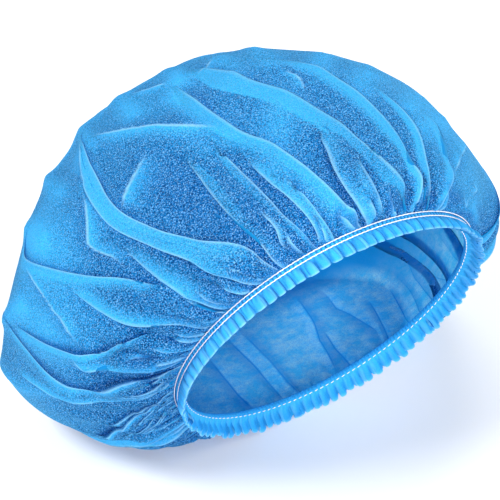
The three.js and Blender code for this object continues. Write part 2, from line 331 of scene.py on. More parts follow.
# Soft lights, in metres and watts. Columns: name, place, target, size, power
LIGHTS = [
    ("key", (-0.9, 0.1, 1.2), (0, 0, 0.08), 0.45, 15),
    ("top", (0.5, 0.7, 1.4), (0, 0, 0.08), 0.8, 10),
    ("front", (-0.3, -1.4, 0.6), (0.05, 0, 0.06), 0.5, 17),
    ("right", (1.2, -0.7, 0.7), (0.05, 0, 0.08), 0.6, 7),
]
SURROUNDINGS = 0.45

# Narrow light into the opening
MOUTH_PLACE = (-0.36, -0.56, 0.6)
MOUTH_TARGET = (0.058, 0.014, 0)
MOUTH_POWER = 33
MOUTH_SPREAD = math.radians(6.5)

# Camera at the photograph's angle
CAMERA_PLACE = (-0.3231, -0.5309, 0.5685)
CAMERA_TILT = math.radians(52)
CAMERA_TURN = math.radians(-30.84)
CAMERA_LENS = 113.65

RANDOM = np.random.default_rng(7)


def ring_centre():
    """The middle of the opening, from the elastic that lies round it."""
    low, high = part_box("elastic_band")
    middle = (np.array(low) + np.array(high)) / 2 / MM
    return middle - ELASTIC_MIDDLE * np.array([0, math.cos(RING_LEAN), math.sin(RING_LEAN)])


RING_CENTRE = ring_centre()
FLOOR = -RING_CENTRE[2]


def ease(low, high, value):
    """A smooth step from 0 at low to 1 at high."""
    share = np.clip((value - low) / (high - low), 0, 1)
    return share * share * (3 - 2 * share)


def ring_point(angle, radius, along):
    """A point about the opening: radius from its axis, distance along it toward the crown."""
    across = radius * np.cos(angle)
    upward = radius * np.sin(angle)
    lean_cos, lean_sin = math.cos(RING_LEAN), math.sin(RING_LEAN)
    back = along * lean_cos - upward * lean_sin
    height = upward * lean_cos + along * lean_sin
    return np.stack([across, back, height], -1)


def turn_between(first, second):
    """The smallest turn from one angle to another."""
    return np.arctan2(np.sin(second - first), np.cos(second - first))


def bag_point(angle, share):
    """A point of the plain bag, drawn in to the opening and laid flat where it would pass the floor."""
    polar = np.radians((MOUTH_TURN + MOUTH_LEAN * np.sin(angle)) * (1 - share))
    spread = np.maximum(0, np.sin(polar)) ** FULLNESS
    corners = np.where(np.sin(angle) < 0, LOWER_CORNERS, UPPER_CORNERS)
    section = spread * (1 + corners * np.sin(2 * angle) ** 2)
    bag = BAG_CENTRE + BAG_HALF * np.stack(
        [section * np.cos(angle), np.cos(polar), section * np.sin(angle)], -1)
    drawn = (np.maximum(0, 1 - share / DRAW_IN_SPAN) ** DRAW_IN_POWER)[..., None]
    point = bag * (1 - drawn) + ring_point(angle, RING_RADIUS, CASING_WIDTH) * drawn
    lift = np.zeros_like(angle)
    for middle_angle, middle_share, height, reach_angle, reach_share in SWELLS:
        across = turn_between(math.radians(middle_angle), angle) / math.radians(reach_angle)
        along = (share - middle_share) / reach_share
        lift += height * np.exp(-0.5 * (across ** 2 + along ** 2))
    outward = (bag - BAG_CENTRE) / BAG_HALF ** 2
    outward /= np.linalg.norm(outward, axis=-1, keepdims=True)
    point = point + outward * lift[..., None]
    point[..., 2] = np.maximum(point[..., 2], FLOOR)
    return point


def girth_radius(point):
    """Distance of points of the bag from the line through its middle, and not less than a small one."""
    across = np.hypot(point[..., 0] - BAG_CENTRE[0], point[..., 2] - BAG_CENTRE[2])
    return np.maximum(across, LEAST_GIRTH)


def bag_outward(angle, share):
    """The direction out of the plain bag, straight out from the opening's axis at the casing."""
    step = 0.006
    inside = np.clip(share, step, 1 - step)
    round_it = bag_point(angle + step, inside) - bag_point(angle - step, inside)
    along = bag_point(angle, inside + step) - bag_point(angle, inside - step)
    outward = np.cross(along, round_it)
    outward /= np.linalg.norm(outward, axis=-1, keepdims=True) + 1e-9
    radial = ring_point(angle, 1.0, 0.0)
    mixed = ease(0, 0.02, share)[..., None]
    outward = radial * (1 - mixed) + outward * mixed
    return outward / (np.linalg.norm(outward, axis=-1, keepdims=True) + 1e-9)


def far_pleats():
    """Pleats of the underside, which faces away from the front."""
    rows = []
    for index in range(FAR_PLEATS):
        angle = FAR_FROM + (FAR_TO - FAR_FROM) * (index + RANDOM.uniform(0.2, 0.8)) / FAR_PLEATS
        bend, end = angle + RANDOM.uniform(-3, 3), angle + RANDOM.uniform(-5, 5)
        reach = RANDOM.uniform(0.34, 0.6)
        crease = [(angle, 0.02), (bend, 0.5 * reach), (end, reach)]
        side = int(RANDOM.choice([-1, 1]))
        rise, width, fade = RANDOM.uniform(1, 1.7), RANDOM.uniform(6, 9), RANDOM.choice([0, 7, 9])
        if angle < FAR_END:
            rows.append((side, width, rise, fade, crease))
    return rows


def short_pleats(pleats):
    """Short pleats between the long ones, each leaning the way its nearest long one does."""
    rows = []
    longs = [row for row in pleats if row[4][0][1] < AT_CASING]
    starts = np.array([row[4][0][0] for row in longs])
    for place in np.arange(*SHORT_DRAWN, SHORT_PITCH):
        angle = place + RANDOM.uniform(-0.8, 0.8)
        apart = np.degrees(np.abs(turn_between(np.radians(starts), math.radians(angle))))
        nearest = longs[int(np.argmin(apart))]
        reach = RANDOM.uniform(0.09, 0.16)
        width, rise = RANDOM.uniform(2.4, 3.6), RANDOM.uniform(2, 3.4)
        if angle > SHORT_LOW_FROM:
            rise *= SHORT_LOW
        if np.min(apart) < SHORT_ROOM or not SHORT_KEPT[0] <= angle <= SHORT_KEPT[1]:
            continue
        angles, shares = np.array(nearest[4]).T
        turn = np.interp(reach, shares, angles) - angles[0]
        crease = [(angle, 0.02), (angle + 0.4 * turn, 0.5 * reach), (angle + 0.8 * turn, reach)]
        rows.append((nearest[0], width, rise, 0, crease))
    return rows


def far_ridges():
    """Soft ridges that run any way over the back."""
    rows = []
    for index in range(FAR_RIDGES):
        angle = 360 * index / FAR_RIDGES + RANDOM.uniform(-5, 5)
        start = RANDOM.uniform(0.56, 0.72)
        ridge = [(angle, start)]
        for step in (1, 2):
            ridge.append((angle + step * RANDOM.uniform(-25, 25), start + 0.06 * step))
        rows.append((RANDOM.uniform(1, 2.4), RANDOM.uniform(4, 7), RANDOM.uniform(0.4, 0.8), ridge))
    return rows


def crease_angles(crease, shares):
    """The angle of a crease at each share, with its corners a little rounded."""
    angles, places = np.array(crease).T
    spread = np.linspace(-0.012, 0.012, 5)
    return np.radians(np.mean([np.interp(shares + offset, places, angles) for offset in spread], axis=0))


def pleat_strength(crease, shares):
    """How far a pleat is folded at each share: full along its run, and gone past its ends."""
    first, last = crease[0][1], crease[-1][1]
    run = last - first
    opening = np.ones_like(shares) if first < AT_CASING else ease(first, first + 0.25 * run, shares)
    return opening * (1 - ease(last - 0.45 * run, last, shares))


def overlap_half(fold):
    """Half the width of the part that lies in three layers, for a pleat one unit wide."""
    reach = np.linspace(0, 1.6, 120)
    folds = np.linspace(0, PLEAT_FOLD, 61)
    halves = np.max(-reach + np.multiply.outer(folds, reach * np.exp(-0.5 * reach ** 2)), axis=-1)
    return np.interp(fold, folds, halves)


def crease_places(pleats):
    """The angle at the casing that each pleat comes from, found for the others from those that reach it."""
    reaching = [row for row in pleats if row[4][0][1] < AT_CASING]
    reaching.sort(key=lambda row: row[4][0][0])
    places = []
    for row in pleats:
        angle, share = row[4][0]
        if share >= AT_CASING:
            here = [float(np.degrees(crease_angles(other[4], np.array([share]))[0])) for other in reaching]
            angle = np.interp(angle, np.maximum.accumulate(here), [other[4][0][0] for other in reaching])
        places.append(float(angle))
    return np.radians(places)


def spread_lines(places, wanted, pinned):
    """Angles of all lines in one row: at their wanted angle where pinned, and evenly between elsewhere."""
    count = len(places)
    gaps = np.diff(np.append(places, places[0] + 2 * math.pi))
    stiff = 1 / np.maximum(gaps, 0.004)
    system = np.diag(pinned + stiff + np.roll(stiff, 1))
    here = np.arange(count)
    following = (here + 1) % count
    system[here, following] -= stiff
    system[following, here] -= stiff
    return places + np.linalg.solve(system, pinned * (wanted - places))


def keep_apart(middles, room, mobility):
    """Moves lines until each pair has its room, the free ones more than the pinned ones."""
    for _ in range(120):
        gaps = np.diff(np.append(middles, middles[0] + 2 * math.pi))
        short = np.maximum(0, room - gaps)
        following = np.roll(mobility, -1)
        share = mobility / (mobility + following)
        middles = middles - 0.6 * short * share + 0.6 * np.roll(short * (1 - share), 1)
    return middles


def smooth_rows(values):
    """Values by row, evened out between neighbouring rows."""
    for _ in range(3):
        padded = np.concatenate([values[:1], values, values[-1:]])
        values = 0.25 * padded[:-2] + 0.5 * padded[1:-1] + 0.25 * padded[2:]
    return values


def lay_pleats(pleats, shares):
    """Middles, half widths and strengths of all pleats by row, in order round the opening."""
    places = crease_places(pleats)
    order = np.argsort(places)
    places = places[order]
    pleats = [pleats[index] for index in order]
    count = len(pleats)
    wanted = np.array([crease_angles(row[4], shares) for row in pleats]).T
    strength = np.array([pleat_strength(row[4], shares) for row in pleats]).T
    sides = np.array([row[0] for row in pleats])
    half_widths = np.array([0.5 * row[1] / PLEAT_HALF for row in pleats])
    girth = girth_radius(bag_point(wanted, np.repeat(shares[:, None], count, 1)))
    reach = half_widths * (0.5 + 0.5 * ease(0.02, 0.16, shares))[:, None]
    for step in range(1, 7):
        for way in (step, -step):
            apart = np.abs(turn_between(wanted, np.roll(wanted, way, 1))) * girth
            facing = np.sign(way) * (np.roll(sides, way) - sides)
            free = 20 * (1 - ease(0, 0.35, np.roll(strength, way, 1)))
            reach = np.minimum(reach, np.maximum(apart / (PLEAT_ROOM + PLEAT_HALF * facing), 0.12) + free)
    reach = smooth_rows(reach * (0.05 + 0.95 * ease(0, 0.7, strength)))
    middles = wanted + sides * PLEAT_HALF * reach / girth
    held = reach * ease(0, 0.3, strength) + 0.12
    for row in range(len(shares)):
        pinned = 3000 * ease(0, 0.3, strength[row]) + 0.001
        lines = spread_lines(places, places + turn_between(places, middles[row]), pinned)
        room = 1.7 * (held[row] + np.roll(held[row], -1)) / girth[row]
        middles[row] = keep_apart(lines, room, 1 / (1 + 50 * strength[row]))
    return pleats, smooth_rows(middles), reach, sides * held / girth, strength


def column_angles(middles, held):
    """Angles of the columns in each row, lined up with the pleats."""
    keys = np.sort(middles[..., None] + held[..., None] * PLEAT_COLUMNS, -1)
    following = np.roll(keys[..., 0], -1, 1)
    following[:, -1] += 2 * math.pi
    steps = np.arange(1, FILL_COLUMNS + 1) / (FILL_COLUMNS + 1)
    between = keys[..., -1:] + (following - keys[..., -1])[..., None] * steps
    return np.concatenate([keys, between], -1).reshape(len(middles), -1)


def gather_phase(angle, count, seed):
    """Phase and size of gathers that are unevenly spaced round the opening."""
    uneven = np.sin(7 * angle + seed) + 0.8 * np.sin(13 * angle + 2 * seed)
    uneven += 0.6 * np.sin(19 * angle + 4 * seed)
    size = 0.8 + 0.2 * np.sin(23 * angle + 3 * seed) + 0.15 * np.sin(41 * angle + seed)
    return count * angle + 1.2 * uneven, size


def gather_wave(angle, count, seed):
    """Sharp ridges with rounded valleys between them, and their lean."""
    phase, size = gather_phase(angle, count, seed)
    return (1 - 2 * np.abs(np.sin(phase / 2)) ** 1.2) * size, np.sin(phase) * size


def scallop_wave(angle, count, seed):
    """Rounded lobes with narrow notches between them, and their lean."""
    phase, size = gather_phase(angle, count, seed)
    return (2 * np.abs(np.cos(phase / 2)) ** 0.7 - 1) * size, np.sin(phase) * size


def gather_height(share, seam, top_share, top, end_share):
    """Height of one set of gathers: from its seam height up to its top, and out to nothing."""
    rising = seam + (top - seam) * ease(0, top_share, share)
    return rising * (1 - ease(top_share, end_share, share))


def line_distance(angle, share, girth, line):
    """Distance from a line that runs any way over the crown, which side it is on, and how far along."""
    nearest = np.full_like(angle, 1000.0)
    side = np.ones_like(angle)
    along_line = np.zeros_like(angle)
    for index, (first_angle, first_share) in enumerate(line[:-1]):
        last_angle, last_share = line[index + 1]
        start_across = turn_between(math.radians(first_angle), angle) * girth
        start_along = (share - first_share) * MERIDIAN
        run_across = math.radians(last_angle - first_angle) * girth
        run_along = (last_share - first_share) * MERIDIAN
        length = run_across ** 2 + run_along ** 2
        part = np.clip((start_across * run_across + start_along * run_along) / length, 0, 1)
        away = np.hypot(start_across - part * run_across, start_along - part * run_along)
        closer = away < nearest
        turned = np.sign(run_across * start_along - run_along * start_across)
        side = np.where(closer, turned, side)
        along_line = np.where(closer, (index + part) / (len(line) - 1), along_line)
        nearest = np.minimum(nearest, away)
    return nearest, side, along_line


def crown_shares():
    """Shares of the crown's rows, up to the one before its middle."""
    shares = [0.0]
    for end, rows in CROWN_ROWS:
        shares.extend(np.linspace(shares[-1], end, rows + 1)[1:])
    return np.array(shares[:-1])


def fold_pleats(laid, angle, share, girth, clear):
    """What the pleats do to the cloth: its shift round the opening, its lift, its density with the painted
    light of its fading bands, a painted highlight along each crease and painted shade beside it."""
    pleats, middles, reaches, strengths = laid
    standing = ease(0.01, 0.12, share) * (1 - 0.7 * ease(0.12, 0.3, share)) * clear
    shift, heaped, dense_and_lit, edge, painted_shade = [np.zeros_like(angle) for _ in range(5)]
    for index, (side, width, rise, fade, _) in enumerate(pleats):
        reach = reaches[:, index, None]
        strength = strengths[:, index, None]
        folded = strength * clear
        fold = PLEAT_FOLD * clear * ease(0, 0.15, strength)
        half = overlap_half(fold) * reach
        away = turn_between(middles[:, index, None], angle) * girth
        unit = side * away / reach
        moved = -fold * away * np.exp(-0.5 * unit ** 2)
        shift += moved / girth
        rising = ease(-0.8, 0.8, unit)
        falling = 1 - ease(0.8 * reach, 2.2 * width, side * away)
        heaped += (strength * (rise * standing + 0.25) * rising * falling) ** 3
        from_crease = side * (away + moved) + half
        upper = (unit > 0) & (from_crease > -1)
        # With a fade, the lighter band is a painted light that fades out from the crease; a crisp band is
        # lighter where the cloth lies in three layers
        if fade:
            band = 1 - ease(0.1 * fade, fade, from_crease)
        else:
            band = 1 - ease(-0.5, 0.7, from_crease - 2 * half)
        band = np.where(upper & (np.abs(unit) < 8), band, 0) * ease(0.1, 0.5, folded)
        dense_and_lit = np.maximum(dense_and_lit, band)
        # Painted highlight along the crease line
        line_share = np.where(upper, np.exp(-(from_crease / 0.5) ** 2), 0)
        edge = np.maximum(edge, line_share * ease(0.2, 0.6, folded))
        # Painted shade along the crease, fading out on the side away from the pleat's band
        shaded = np.where(unit < 0.4, np.exp(np.minimum(0, from_crease) / (0.6 + 0.5 * reach)), 0)
        painted_shade = np.maximum(painted_shade, np.where(unit > -9, shaded, 0) * ease(0.1, 0.6, folded))
    return shift, np.cbrt(heaped), dense_and_lit, edge, painted_shade


def far_waves(turned, share, clear):
    """Lift of the broad waves of the underside."""
    degrees = np.degrees(turned) % 360
    far = ease(205, 235, degrees) * (1 - ease(335, 360, degrees)) * clear
    far = far * ease(0.1, 0.3, share) * (1 - ease(0.45, 0.7, share))
    return FAR_WAVE_HEIGHT * far * gather_wave(turned, FAR_WAVES, 5.1)[0]


def added_tones(angle, share):
    """Density that the listed places add to the cloth, partly its own and partly painted light and shade.
    """
    added = np.zeros_like(angle)
    for tone_angle, tone_share, density, reach_angle, reach_share in TONES:
        across = turn_between(math.radians(tone_angle), angle) / math.radians(reach_angle)
        along = (share - tone_share) / reach_share
        added += density * np.exp(-0.5 * (across ** 2 + along ** 2))
    return added


def crease_marks(turned, share, girth, clear):
    """Lift of the creases, the distance from the nearest one, signed toward its side of painted light, and
    the strength of its painted light and shade.
    """
    lift = np.zeros_like(turned)
    crease_side = np.full_like(turned, NO_CREASE)
    crease_tone = np.zeros_like(turned)
    for bright_side, height, reach, line in CREASES:
        away, side, along_line = line_distance(turned, share, girth, line)
        held = ease(0, 0.2, along_line) * (1 - ease(0.75, 1, along_line))
        lift += height * clear * (0.4 + 0.6 * held) * np.exp(-np.sqrt(away ** 2 + 2) / 5)
        # Strength of the crease's painted light, painted shade and painted highlight, fading with distance
        tone = held * (1 - ease(0, 1.3 * reach, away)) ** 2 * (1 - 0.6 * ease(0.5, 0.62, share))
        crease_side = np.where(tone > crease_tone, bright_side * side * away, crease_side)
        crease_tone = np.maximum(crease_tone, tone)
    return lift, crease_side, crease_tone


def crown_shape(shares, pleats, ridges):
    """Points of the crown cloth by row and column, with its density and painted light, its painted
    highlight and painted shade at each, the side and the strength of the nearest crease's painted light and
    shade, and the share."""
    pleats, middles, reaches, held, strengths = lay_pleats(pleats, shares)
    angle = column_angles(middles, held)
    share = np.repeat(shares[:, None], angle.shape[1], 1)
    plain = bag_point(angle, share)
    girth = girth_radius(plain)
    clear = ease(FOLDS_FROM, FOLDS_FULLY, plain[..., 2] - FLOOR)
    laid = (pleats, middles, reaches, strengths)
    shift, lift, dense_and_lit, edge, painted_shade = fold_pleats(laid, angle, share, girth, clear)
    for index, (count, seam, top_share, top, end_share, density) in enumerate(GATHERS):
        wave, lean = gather_wave(angle, count, 1.3 + index)
        height = gather_height(share, seam, top_share, top, end_share)
        lift += wave * height
        shift += 0.6 * lean * height / girth
        shown = np.minimum(1, 1.5 * height / top)
        # The gathers' crests are made denser; a set with a density gets painted shade in its valleys
        dense_and_lit = np.maximum(dense_and_lit, density * ease(-0.3, 0.7, wave) * shown)
        if density:
            painted_shade = np.maximum(painted_shade, 1.3 * ease(0, 0.8, -wave) * shown)
    turned = angle + shift
    # Ridges lift the cloth and get a painted highlight along the crest
    for height, width, density, ridge in ridges:
        away = line_distance(turned, share, girth, ridge)[0]
        lift += height * clear * np.exp(-np.sqrt(away ** 2 + 3) / width)
        dense_and_lit = np.maximum(dense_and_lit, density * np.exp(-(away / width) ** 2))
    lift += far_waves(turned, share, clear)
    # Listed tones, partly the cloth's own density and partly painted light and shade; below nought they
    # darken with the painted shade
    dense_and_lit = dense_and_lit + added_tones(angle, share)
    painted_shade = np.maximum(painted_shade, np.clip(-dense_and_lit, 0, 1))
    dense_and_lit = np.clip(dense_and_lit, 0, 1)
    # Painted shade by the casing, less where the cloth is denser
    painted_shade = np.maximum(painted_shade, 0.7 * (1 - ease(0.02, 0.14, share)) * (1 - dense_and_lit))
    crease_lift, crease_side, crease_tone = crease_marks(turned, share, girth, clear)
    lift += crease_lift
    point = bag_point(turned, share) + bag_outward(turned, share) * lift[..., None]
    point[..., 2] = np.maximum(point[..., 2], FLOOR + 0.05)
    return point, dense_and_lit, edge, painted_shade, crease_side, crease_tone, share


def grid_faces(rows, columns, start=0):
    """Four-sided faces of a grid that closes on itself round the opening."""
    row, column = np.meshgrid(np.arange(rows - 1), np.arange(columns), indexing="ij")
    following = (column + 1) % columns
    corners = [row * columns + column, (row + 1) * columns + column,
               (row + 1) * columns + following, row * columns + following]
    return (np.stack(corners, -1).reshape(-1, 4) + start).tolist()


def cloth_mesh(name, points, faces, attributes, material):
    """A smooth mesh piece from points in millimetres about the opening, with its own attributes."""
    mesh = bpy.data.meshes.new(name)
    mesh.from_pydata(((points + RING_CENTRE) * MM).tolist(), [], faces)
    for label, values in attributes.items():
        attribute = mesh.attributes.new(label, "FLOAT", "POINT")
        attribute.data.foreach_set("value", np.asarray(values, np.float32))
    mesh.shade_smooth()
    mesh.validate()
    mesh.materials.append(material)
    piece = bpy.data.objects.new(name, mesh)
    bpy.context.scene.collection.objects.link(piece)
    return piece


def make_crown(material):
    """The crown cloth, closed at its middle by a fan."""
    pleats = PLEATS + far_pleats()
    pleats += short_pleats(pleats)
    ridges = RIDGES + [CORNER_RIDGE + (line,) for line in CORNER_LINES] + far_ridges()
    shares = crown_shares()
    shape = crown_shape(shares, pleats, ridges)
    columns = shape[1].shape[1]
    apex_index = shape[1].size
    last = apex_index - columns
    faces = grid_faces(len(shares), columns)
    faces += [[last + index, apex_index, last + (index + 1) % columns] for index in range(columns)]
    apex = bag_point(np.array([0.0]), np.array([1.0]))
    points = np.concatenate([shape[0].reshape(-1, 3), apex])
    attributes = {}
    labels = ("dense_and_lit", "edge", "painted_shade", "crease_side", "crease_tone", "share")
    for label, values in zip(labels, shape[1:]):
        attributes[label] = np.append(values.ravel(), values[-1].mean())
    return cloth_mesh("crown_cloth", points, faces, attributes, material)


# Hem in section, from the upper seam outside, round the ruffle's edge and up inside the casing.
# Columns: distance along the opening's axis, radius from the casing's face, share of the ruffle's wave,
# height of the fine gathers
HEM_SECTION = [
    (2.6, 0.0, 0.0, 0.22),
    (2.2, 0.3, 0.0, 0.3),
    (1.7, 0.45, 0.0, 0.35),
    (0.9, 0.45, 0.0, 0.35),
    (0.4, 0.3, 0.0, 0.3),
    (0.0, 0.0, 0.03, 0.22),
    (-0.4, 0.25, 0.2, 0.25),
    (-0.9, 0.4, 0.4, 0.22),
    (-1.6, 0.5, 0.6, 0.18),
    (-2.4, 0.5, 0.75, 0.14),
    (-3.2, 0.45, 0.85, 0.1),
    (-4.0, 0.4, 0.92, 0.08),
    (-4.8, 0.35, 0.97, 0.06),
    (-5.6, 0.3, 1.0, 0.05),
    (-6.2, 0.25, 1.0, 0.05),
    (-6.6, 0.1, 1.0, 0.05),
    (-6.8, -0.15, 1.0, 0.05),
    (-6.6, -0.4, 1.0, 0.05),
    (-6.2, -0.5, 1.0, 0.05),
    (-5.2, -0.6, 0.98, 0.05),
    (-4.0, -0.65, 0.92, 0.08),
    (-2.8, -0.75, 0.8, 0.12),
    (-1.6, -1.0, 0.6, 0.18),
    (-0.8, -1.7, 0.35, 0.22),
    (0.0, -2.8, 0.0, 0.25),
    (0.8, -3.3, 0.0, 0.35),
    (1.8, -3.3, 0.0, 0.35),
    (2.6, -2.9, 0.0, 0.3),
    (3.3, -2.5, 0.0, 0.3),
]
HEM_COLUMNS = 1980
RUFFLE_COUNT = 92
RUFFLE_WAVE = 1.8
RUFFLE_PLEAT = 0.7
RUFFLE_SLANT = 0.018
RUFFLE_SCALLOP = 1.3
HEM_DENSE = 1.6


def hem_shape():
    """Points of the casing and the ruffle by row and column, with their painted shade and painted
    highlight.
    """
    along, out, ruffled, fine = [np.array(column)[:, None] for column in zip(*HEM_SECTION)]
    angle = np.linspace(-math.pi / 2, 1.5 * math.pi, HEM_COLUMNS + 1)[:-1][None, :]
    gather, gather_lean = gather_wave(angle, GATHERS[0][0], 1.3)
    slanted = angle + RUFFLE_SLANT * ruffled
    wave, lean = scallop_wave(slanted, RUFFLE_COUNT, 2.2)
    pleat, pleat_lean = scallop_wave(slanted, 2 * RUFFLE_COUNT, 2.2)
    radius = RING_RADIUS + out + fine * gather + ruffled * (RUFFLE_WAVE * wave + RUFFLE_PLEAT * pleat)
    placed = along - RUFFLE_SCALLOP * ruffled * (wave + 0.3 * pleat)
    turned = angle + (0.6 * gather_lean * fine + ruffled * (0.7 * lean + 0.4 * pleat_lean)) / RING_RADIUS
    point = ring_point(turned, radius, placed + 0 * angle)
    inside = np.arange(len(along))[:, None] > np.argmin(along)
    point[..., 2] = np.maximum(point[..., 2], FLOOR + 0.1 + 0.5 * inside)
    # Painted shade: in the notches between the ruffle's lobes, at its small pleats, on one side of each
    # lobe and in the gathers' valleys, less on the inside, and a little inside the casing
    painted_shade = 1.2 * ease(-0.45, 0.5, -wave) + 0.7 * ease(-0.1, 0.8, -pleat) + 0.5 * ease(0.1, 0.9, lean)
    painted_shade = (ruffled * painted_shade + 3 * fine * ease(-0.2, 0.8, -gather)) * (1 - 0.6 * inside)
    painted_shade += 0.3 * ease(0.2, 1, along) * (out < -2)
    # Painted highlight on the ruffle's folded edge and on the other side of each lobe
    bright = 0.8 * ease(-5.9, -6.7, along) * ease(-0.2, 0.6, wave)
    bright = bright + 0.4 * ruffled * ease(0.1, 0.9, -lean)
    return point, np.clip(painted_shade, 0, 1.4), bright


def make_hem(material):
    """The casing over the elastic and the doubled ruffle in front of it."""
    points, painted_shade, bright = hem_shape()
    rows, columns = points.shape[:2]
    faces = [face[::-1] for face in grid_faces(rows, columns)]
    count = rows * columns
    attributes = {
        "dense_and_lit": np.full(count, HEM_DENSE),
        "edge": bright.ravel(),
        "painted_shade": painted_shade.ravel(),
        "crease_side": np.full(count, NO_CREASE),
        "crease_tone": np.zeros(count),
        "share": np.zeros(count),
    }
    return cloth_mesh("hem_ruffle", points.reshape(-1, 3), faces, attributes, material)


# Stitch rows. Columns: distance along the opening's axis, radius from the casing's face, stitches, length
STITCH_ROWS = [
    (1.9, 1.3, 196, 3.6),
    (0.0, 0.6, 196, 3.6),
    (0.0, -3.2, 150, 2.2),
]
THREAD_THICKNESS = 0.45
STITCH_SLANT = 0.12


def stitch_template(length):
    """One stitch: a small pod of thread along X, shaped from a ball."""
    bpy.ops.object.select_all(action="DESELECT")
    bpy.ops.mesh.primitive_uv_sphere_add(segments=8, ring_count=6, radius=0.5)
    ball = bpy.context.object
    bpy.ops.object.mode_set(mode="EDIT")
    bpy.ops.mesh.select_all(action="SELECT")
    bpy.ops.transform.rotate(value=math.pi / 2, orient_axis="Y", center_override=(0, 0, 0))
    bpy.ops.transform.resize(value=(length, THREAD_THICKNESS, THREAD_THICKNESS))
    bpy.ops.object.mode_set(mode="OBJECT")
    points = np.array([list(vertex.co) for vertex in ball.data.vertices])
    faces = [list(polygon.vertices) for polygon in ball.data.polygons]
    bpy.data.objects.remove(ball)
    return points, faces


def make_stitches(material):
    """All stitch rows as one joined piece, copied from the single stitch."""
    all_points, all_faces = [], []
    count = 0
    for along, out, stitches, length in STITCH_ROWS:
        template, faces = stitch_template(length)
        for index in range(stitches):
            angle = 2 * math.pi * index / stitches - math.pi / 2
            run = template[:, 0]
            turned = angle + run / RING_RADIUS
            radius = RING_RADIUS + out + template[:, 1]
            placed = along + template[:, 2] + STITCH_SLANT * run
            all_points.append(ring_point(turned, radius, placed))
            all_faces += [[corner + count for corner in face] for face in faces]
            count += len(template)
    return cloth_mesh("stitch_rows", np.concatenate(all_points), all_faces, {}, material)


def add_node(tree, kind, **settings):
    """A shader node with its named inputs and properties set."""
    node = tree.nodes.new(kind)
    for name, value in settings.items():
        if hasattr(node, name):
            setattr(node, name, value)
        else:
            node.inputs[name.replace("_", " ")].default_value = value
    return node


def nonwoven_group():
    """The web of bonded fibres: dark pores, light fibres and a cloudy tone, from places on the cloth."""
    group = bpy.data.node_groups.new("Nonwoven web", "ShaderNodeTree")
    group.interface.new_socket("Vector", in_out="INPUT", socket_type="NodeSocketVector")
    for name, *_ in WEB_TEXTURES:
        group.interface.new_socket(name, in_out="OUTPUT", socket_type="NodeSocketFloat")
    entry = group.nodes.new("NodeGroupInput")
    exit_node = group.nodes.new("NodeGroupOutput")
    mapping = add_node(group, "ShaderNodeMapping")
    mapping.inputs["Rotation"].default_value = (0.3, 0.5, 0.4)
    mapping.inputs["Scale"].default_value = (1.0, 1.35, 1.0)
    link = group.links.new
    link(entry.outputs["Vector"], mapping.inputs["Vector"])
    for name, scale, detail, roughness, low, high in WEB_TEXTURES:
        noise = add_node(group, "ShaderNodeTexNoise", Scale=scale, Detail=detail, Roughness=roughness)
        span = add_node(group, "ShaderNodeMapRange", From_Min=low, From_Max=high)
        link(mapping.outputs["Vector"], noise.inputs["Vector"])
        link(noise.outputs["Fac"], span.inputs["Value"])
        link(span.outputs["Result"], exit_node.inputs[name])
    return group


def mix_colour(tree, factor, first, second):
    """A colour mix, where factor, first and second are sockets or plain values."""
    node = tree.nodes.new("ShaderNodeMix")
    node.data_type = "RGBA"
    for socket, value in ((node.inputs[0], factor), (node.inputs[6], first), (node.inputs[7], second)):
        if hasattr(value, "is_output"):
            tree.links.new(value, socket)
        else:
            socket.default_value = value
    return node.outputs[2]


def math_node(tree, operation, first, second):
    """A math node of two values, each a socket or a number."""
    node = tree.nodes.new("ShaderNodeMath")
    node.operation = operation
    for socket, value in zip(node.inputs, (first, second)):
        if hasattr(value, "is_output"):
            tree.links.new(value, socket)
        else:
            socket.default_value = value
    return node.outputs[0]


def smooth_range(tree, value, low, high):
    """A smooth step from 0 where a value is low to 1 where it is high."""
    node = tree.nodes.new("ShaderNodeMapRange")
    node.interpolation_type = "SMOOTHSTEP"
    node.inputs["From Min"].default_value = low
    node.inputs["From Max"].default_value = high
    tree.links.new(value, node.inputs["Value"])
    return node.outputs["Result"]


def cloth_marks(tree):
    """Values that the cloth's mesh carries, by name, with what its creases give: a painted highlight on the
    line, painted light on one side and painted shade on the other.
    """
    labels = ("dense_and_lit", "edge", "painted_shade", "crease_side", "crease_tone", "share")
    marks = {}
    for label in labels:
        marks[label] = add_node(tree, "ShaderNodeAttribute", attribute_name=label).outputs["Fac"]
    side, tone = marks["crease_side"], marks["crease_tone"]
    # Painted highlight along the crease line
    line = smooth_range(tree, math_node(tree, "ABSOLUTE", side, 0.0), 0.9, 0.0)
    marks["crease_line"] = math_node(tree, "MULTIPLY", line, math_node(tree, "POWER", tone, 2.0))
    # Painted light on one side of the crease and painted shade on the other
    marks["bright_side"] = math_node(tree, "MULTIPLY", smooth_range(tree, side, -0.5, 0.5), tone)
    marks["dark_side"] = math_node(tree, "MULTIPLY", smooth_range(tree, side, 0.5, -0.5), tone)
    return marks


